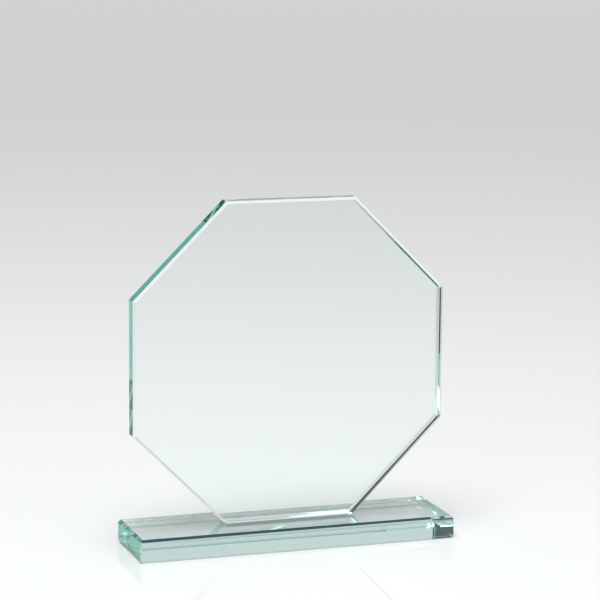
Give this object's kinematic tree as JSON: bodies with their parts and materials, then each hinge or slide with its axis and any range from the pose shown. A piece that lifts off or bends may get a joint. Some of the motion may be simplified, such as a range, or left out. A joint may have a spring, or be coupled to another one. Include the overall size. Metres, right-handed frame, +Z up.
{
  "type": "glass award",
  "caption": "Upright octagonal clear glass plaque with polished bevels, bonded on edge to a bevelled rectangular glass base.",
  "frame": {"origin": "middle of the base's underside, on the surface the award stands on", "axes": "+Z up the height of the plaque, +Y from the front face to the back face, +X along the base to the reader's right"},
  "size_m": [0.142, 0.038, 0.1501],
  "materials": {
    "plate_glass": "polished clear float glass, green at the edges",
    "base_glass": "polished clear float glass, green at the edges",
    "clear_adhesive": "cured clear adhesive"
  },
  "bodies": {
    "root": {"octagon_plate": "plate_glass", "base_slab": "base_glass", "bond_film": "clear_adhesive"}
  },
  "joints": []
}
